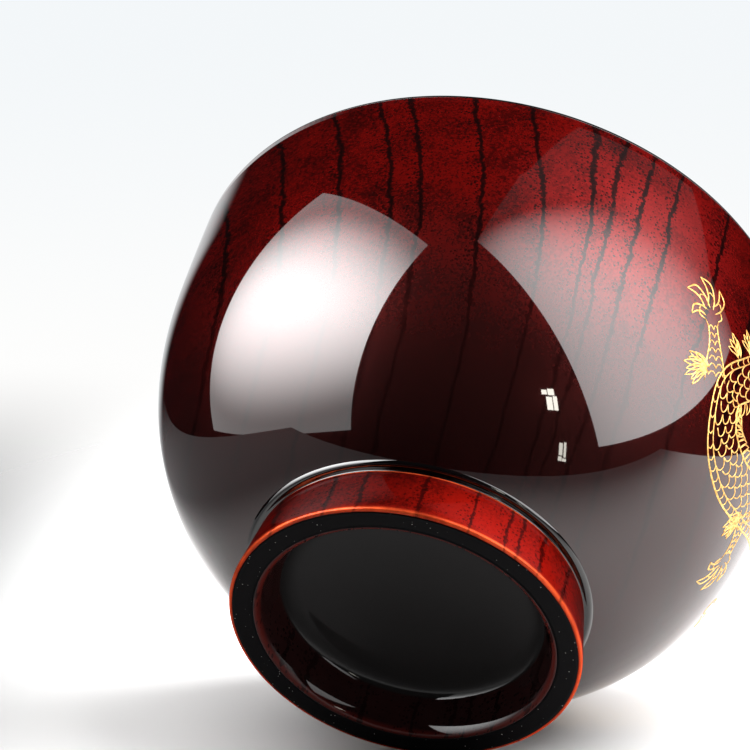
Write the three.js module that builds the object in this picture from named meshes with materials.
// Lacquered rice bowl, turned from one block of ring-porous wood, standing on its foot:
// millimetres, +Z up along the turning axis, origin at the centre of the standing ring.
//
// The wood is a single blank (bowl and foot are one piece, the grain runs through both).
// Everything else is a coat on it: each coat is a thin solid that starts where the one before ends.
import * as THREE from "three";
import { mergeVertices } from "three/addons/utils/BufferGeometryUtils.js";

// ---- driving dimensions (mm) ----
const HEIGHT = 78.6;           // foot to lip
const BODY_R = 57.5;           // largest outside radius, a 115 mm bowl
const BELLY_Z = 60;            // height of the largest radius
const POLE_Z = 5.7;            // where the body curve would reach the axis
const BODY_POWER = 2.29;       // exponent of the body's superellipse
const LIP_R = 57.25;           // outside radius just under the lip
const LIP_T = 2.6;             // thickness of the rounded lip
const WALL = 4.2;              // wall thickness at the belly
const INSIDE_POLE_Z = 14.5;    // deepest point of the inside
const SOLE_R = 31.55;          // outer edge of the standing ring
const SOLE_INNER_R = 27;       // inner edge of the standing ring
const FOOT_H = 10.7;           // height of the crisp edge at the root of the foot
const ROOT_R = 29.8;           // radius of that edge
const GROOVE_R = 29.3;         // bottom of the turned groove above the foot
const GROOVE_Z = 11.2;
const BODY_START_Z = 12;       // where the groove ends and the body begins
const RECESS_R = 23.75;        // foot recess, where its wall turns into the coved floor
const RECESS_WALL_Z = 6.8;
const RECESS_FLOOR_R = 20.3;   // inner end of the cove
const RECESS_FLOOR_Z = 8.2;
const RECESS_FOOT_R = 25.35;   // where the wall turns into its soft inner edge
const RECESS_FOOT_Z = 2.1;
const COAT = 0.3;              // thickness of a lacquer coat
const GAP = 0.05;              // clearance between neighbouring solids
const GOLD_T = 0.12;           // height of the gold line work above the lacquer
const SEGMENTS = 48;           // sides of every turned solid

// ---- colours ----
const LOOKS = {
  wood_body: { color: 0x7a4a2c, roughness: 0.7, metalness: 0 },
  outer_lacquer: { color: 0x5c0a0c, roughness: 0.12, metalness: 0 },
  foot_lacquer: { color: 0x7a0d10, roughness: 0.12, metalness: 0 },
  inner_lacquer: { color: 0x0c0808, roughness: 0.12, metalness: 0 },
  groove_lacquer: { color: 0x0a0809, roughness: 0.15, metalness: 0 },
  sole_lacquer: { color: 0x141214, roughness: 0.35, metalness: 0 },
  recess_lacquer: { color: 0x0a0809, roughness: 0.12, metalness: 0 },
  gold_serpent: { color: 0xd9a441, roughness: 0.3, metalness: 1 },
};

// ---- the finished section, from the axis underneath, round the foot and the lip, to the axis inside ----

// radius of a superellipse of revolution: r = R at z = bellyZ, r = 0 at z = poleZ
function superRadius(z, R, bellyZ, poleZ, power) {
  const t = Math.min(Math.max((bellyZ - z) / (bellyZ - poleZ), 0), 1);
  return R * (1 - t ** power) ** (1 / power);
}

// outside radius of the body: the superellipse, drawn in a touch above the belly
function bodyRadius(z) {
  const above = Math.max(0, (z - BELLY_Z) / (HEIGHT - BELLY_Z));
  return superRadius(z, BODY_R, BELLY_Z, POLE_Z, BODY_POWER) - (BODY_R - LIP_R) * above ** 2;
}

function insideRadius(z) {
  const above = Math.max(0, (z - BELLY_Z) / (HEIGHT - BELLY_Z));
  const lipInside = LIP_R - LIP_T;
  return superRadius(z, BODY_R - WALL, BELLY_Z, INSIDE_POLE_Z, BODY_POWER)
    + (lipInside - (BODY_R - WALL)) * above ** 2;
}

// n + 1 points of a turned curve r(z), eased so that they crowd towards z0, where the curve is flattest
function curvePoints(radius, z0, z1, n) {
  return Array.from({ length: n + 1 }, (_, i) => {
    const z = z0 + (z1 - z0) * (1 - Math.cos((Math.PI / 2) * (i / n)));
    return new THREE.Vector2(radius(z), z);
  });
}

const lipStartZ = HEIGHT - LIP_T / 2;
const recess = [
  new THREE.Vector2(0, RECESS_FLOOR_Z),
  new THREE.Vector2(RECESS_FLOOR_R, RECESS_FLOOR_Z),
  new THREE.Vector2((RECESS_R + RECESS_FLOOR_R) / 2 + 0.6, RECESS_FLOOR_Z - 0.4),
  new THREE.Vector2(RECESS_R, RECESS_WALL_Z),
  new THREE.Vector2(RECESS_FOOT_R, RECESS_FOOT_Z),
  new THREE.Vector2((RECESS_FOOT_R + SOLE_INNER_R) / 2 - 0.05, RECESS_FOOT_Z / 4),
  new THREE.Vector2(SOLE_INNER_R, 0),
];
const sole = [new THREE.Vector2(SOLE_INNER_R, 0), new THREE.Vector2(SOLE_R, 0)];
const footWall = [new THREE.Vector2(SOLE_R, 0), new THREE.Vector2(ROOT_R, FOOT_H)];
const groove = [
  new THREE.Vector2(ROOT_R, FOOT_H),
  new THREE.Vector2(GROOVE_R, GROOVE_Z),
  new THREE.Vector2(bodyRadius(BODY_START_Z), BODY_START_Z),
];
const body = curvePoints(bodyRadius, BODY_START_Z, lipStartZ, 10);
const lip = [1, 2, 3].map((i) => {
  const angle = (Math.PI / 4) * i;
  const middle = LIP_R - LIP_T / 2;
  return new THREE.Vector2(middle + (LIP_T / 2) * Math.cos(angle), lipStartZ + (LIP_T / 2) * Math.sin(angle));
});
const inside = [...lip, ...curvePoints(insideRadius, INSIDE_POLE_Z, lipStartZ, 10).reverse()];

// one run of points; a stretch starts at the point where the one before it ends
const stretches = { recess, sole, footWall, groove, body, inside };
const section = [];
const ranges = {};
for (const [name, points] of Object.entries(stretches)) {
  const last = section.at(-1);
  const fresh = last && last.distanceTo(points[0]) < 1e-6 ? points.slice(1) : points;
  const start = last ? section.length - 1 : 0;
  section.push(...fresh);
  ranges[name] = [start, section.length - 1];
}

// the section moved into the material by a distance, corners mitred, ends kept on the axis
function inset(points, distance) {
  return points.map((p, i) => {
    const onAxis = i === 0 || i === points.length - 1;
    const before = points[Math.max(i - 1, 0)];
    const after = points[Math.min(i + 1, points.length - 1)];
    const normals = [[before, p], [p, after]]
      .filter(([a, b]) => a !== b)
      .map(([a, b]) => new THREE.Vector2(a.y - b.y, b.x - a.x).normalize());
    if (onAxis) return new THREE.Vector2(0, p.y + distance * Math.sign(normals[0].y));
    const mitre = normals[0].clone().add(normals[1]).normalize();
    return p.clone().addScaledVector(mitre, distance / mitre.dot(normals[0]));
  });
}

const underCoat = inset(section, COAT);
const woodSurface = inset(section, COAT + GAP);

// ---- turned solids ----
function turned(points) {
  const geometry = new THREE.LatheGeometry(points, SEGMENTS).rotateX(Math.PI / 2);
  geometry.deleteAttribute("uv");
  geometry.deleteAttribute("normal");
  return mergeVertices(geometry, 1e-4);
}

// moves the end points of a run along it by half the clearance, unless they are on the axis
function shorten(run) {
  const ends = [[0, 1], [run.length - 1, run.length - 2]];
  const points = run.map((p) => p.clone());
  for (const [end, next] of ends) {
    if (run[end].x > 1e-6) {
      const along = run[next].clone().sub(run[end]).normalize();
      points[end].addScaledVector(along, GAP / 2);
    }
  }
  return points;
}

// a coat: the stretch's finished surface and, behind it, the same run under the coat
function coat(name) {
  const [start, end] = ranges[name];
  const outer = shorten(section.slice(start, end + 1));
  const inner = shorten(underCoat.slice(start, end + 1)).reverse();
  const outline = [...outer, ...inner];
  const endsOnAxis = outline[0].x < 1e-6 || outer.at(-1).x < 1e-6;
  const points = endsOnAxis ? fromAxisToAxis(outline) : [...outline, outline[0].clone()];
  return turned(points);
}

// turns a closed outline that touches the axis along one side into a run from axis to axis
function fromAxisToAxis(outline) {
  const n = outline.length;
  const first = outline.findIndex((p, i) => p.x < 1e-6 && outline[(i + 1) % n].x > 1e-6);
  return Array.from({ length: n }, (_, i) => outline[(first + i) % n]);
}

// ---- gold line work: the ground it covers, one sinuous ribbon lying on the body ----
// the spine from the head to the tip of the tail: millimetres round the belly, and height
const SERPENT_SPINE = [
  [-6, 61.5], [-19, 61], [-28, 61.5], [-36, 57.5], [-41, 50.5], [-41, 43], [-35.5, 38], [-27, 37],
  [-17.5, 39.5], [-7, 45], [4, 51], [15, 53.5], [25, 49.5], [33, 41.5], [42, 37], [52, 39.5],
  [60, 47], [68, 52], [76, 50.5], [82, 45],
];
const SERPENT_HALF_WIDTH = 4.6;  // at its thickest
const SERPENT_STEPS = 84;        // along the ribbon
const SERPENT_STRIPS = 4;        // across it

// a point of the unrolled body (arc round the belly, height), lifted off the lacquer
function onBody(flat, lift) {
  const r = bodyRadius(flat.y) + lift;
  const phi = flat.x / BODY_R;
  return [r * Math.cos(phi), r * Math.sin(phi), flat.y];
}

const serpentSpine = new THREE.SplineCurve(SERPENT_SPINE.map(([x, y]) => new THREE.Vector2(x, y)));

// a closed shell: a ring of points round the ribbon's section at every step, capped at both ends
function serpentRibbon() {
  const steps = SERPENT_STEPS;
  const strips = SERPENT_STRIPS;
  const positions = [];
  const index = [];
  const ring = 2 * (strips + 1);
  const quad = (a, b, c, d) => index.push(a, b, c, a, c, d);
  for (let i = 0; i <= steps; i += 1) {
    const t = i / steps;
    const centre = serpentSpine.getPointAt(t);
    const along = serpentSpine.getTangentAt(t);
    const reach = SERPENT_HALF_WIDTH * (0.2 + 0.8 * Math.sin(Math.PI * t ** 0.7));
    const side = new THREE.Vector2(-along.y, along.x).multiplyScalar(reach);
    for (let k = 0; k < ring; k += 1) {
      const under = k <= strips;
      const across = under ? 1 - (2 * k) / strips : (2 * (k - strips - 1)) / strips - 1;
      const flat = centre.clone().addScaledVector(side, across);
      positions.push(...onBody(flat, under ? GAP : GAP + GOLD_T));
    }
  }
  for (let i = 0; i < steps; i += 1) {
    for (let k = 0; k < ring; k += 1) {
      const next = (k + 1) % ring;
      quad(ring * i + k, ring * (i + 1) + k, ring * (i + 1) + next, ring * i + next);
    }
  }
  const end = ring * steps;
  for (let k = 0; k < strips; k += 1) {
    quad(k, k + 1, ring - 2 - k, ring - 1 - k);
    quad(end + ring - 1 - k, end + ring - 2 - k, end + k + 1, end + k);
  }
  const geometry = new THREE.BufferGeometry();
  geometry.setAttribute("position", new THREE.Float32BufferAttribute(positions, 3));
  geometry.setIndex(index);
  return geometry;
}

// ---- the assembly ----
const bowl = new THREE.Group();
bowl.name = "rice_bowl";

function add(name, geometry) {
  geometry.computeVertexNormals();
  const mesh = new THREE.Mesh(geometry, new THREE.MeshStandardMaterial(LOOKS[name]));
  mesh.name = name;
  bowl.add(mesh);
}

add("wood_body", turned(woodSurface));
add("outer_lacquer", coat("body"));
add("foot_lacquer", coat("footWall"));
add("inner_lacquer", coat("inside"));
add("groove_lacquer", coat("groove"));
add("sole_lacquer", coat("sole"));
add("recess_lacquer", coat("recess"));
add("gold_serpent", serpentRibbon());

export default bowl;
